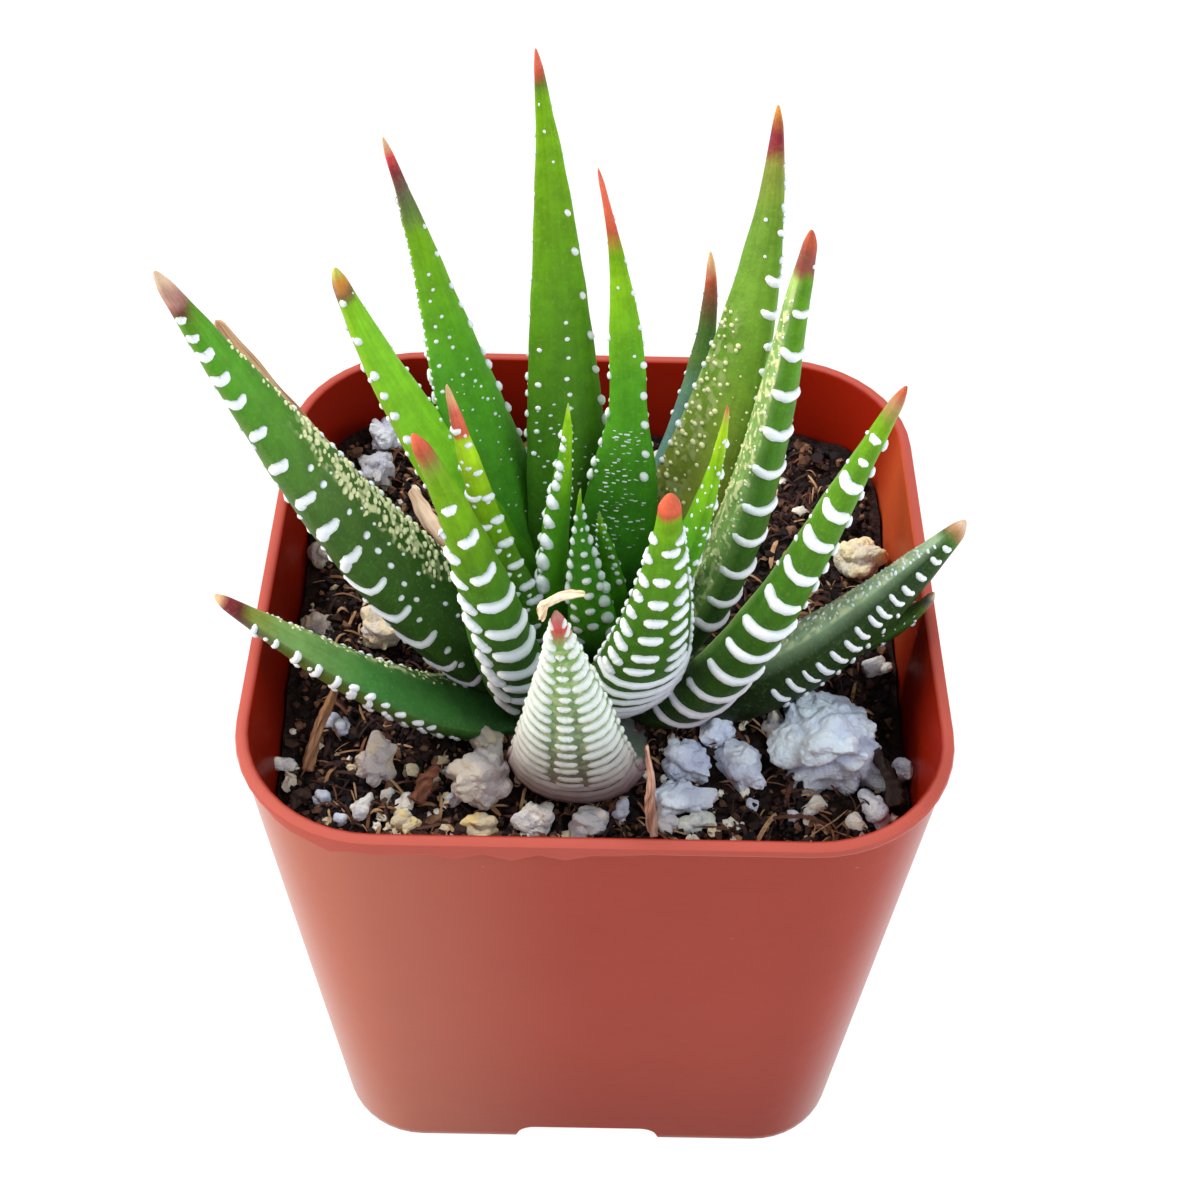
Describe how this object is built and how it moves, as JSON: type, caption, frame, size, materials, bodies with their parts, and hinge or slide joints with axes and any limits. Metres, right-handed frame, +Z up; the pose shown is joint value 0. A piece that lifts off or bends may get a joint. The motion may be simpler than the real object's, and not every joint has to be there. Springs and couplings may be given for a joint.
{
  "type": "potted haworthia",
  "caption": "Zebra haworthia rosette with white raised leaf bars, planted in soil with perlite in a small square tapered plastic pot.",
  "frame": {"origin": "middle of the pot's footprint, on the surface the pot stands on", "axes": "+Z up; -Y is the side the picture is taken from, with +X to its right; pot sides parallel to X and Y"},
  "size_m": [0.0615, 0.057, 0.097],
  "materials": {
    "pot_plastic": "satin, slightly translucent terracotta plastic",
    "peat": "loose, rough, moist",
    "leaf_skin": "waxy satin with matte white raised bars and beads",
    "stem_skin": "dull",
    "dried_leaf": "dry and matte",
    "bark": "rough",
    "perlite": "rough and porous"
  },
  "bodies": {
    "root": {"pot": "pot_plastic", "soil": "peat", "stem": "stem_skin", "leaf_01": "leaf_skin", "leaf_02": "leaf_skin", "leaf_03": "leaf_skin", "leaf_04": "leaf_skin", "leaf_05": "leaf_skin", "leaf_06": "leaf_skin", "leaf_07": "leaf_skin", "leaf_08": "leaf_skin", "leaf_09": "leaf_skin", "leaf_10": "leaf_skin", "leaf_11": "leaf_skin", "leaf_12": "leaf_skin", "leaf_13": "leaf_skin", "leaf_14": "leaf_skin", "leaf_15": "leaf_skin", "leaf_16": "leaf_skin", "leaf_17": "leaf_skin", "leaf_18": "leaf_skin", "leaf_19": "leaf_skin", "leaf_20": "leaf_skin", "dry_leaf_back": "dried_leaf", "dry_leaf_left": "dried_leaf", "dry_leaf_front": "dried_leaf", "wood_splinter": "bark", "dark_twig": "bark", "bark_chip": "bark", "bark_flake": "bark", "perlite_01": "perlite", "perlite_02": "perlite", "perlite_03": "perlite", "perlite_04": "perlite", "perlite_05": "perlite", "perlite_06": "perlite", "perlite_07": "perlite", "perlite_08": "perlite", "perlite_09": "perlite", "perlite_10": "perlite", "perlite_11": "perlite", "perlite_12": "perlite", "perlite_13": "perlite", "perlite_14": "perlite", "perlite_15": "perlite", "perlite_16": "perlite", "perlite_17": "perlite", "perlite_18": "perlite", "perlite_19": "perlite", "perlite_20": "perlite", "perlite_21": "perlite", "perlite_22": "perlite", "perlite_23": "perlite"}
  },
  "joints": []
}
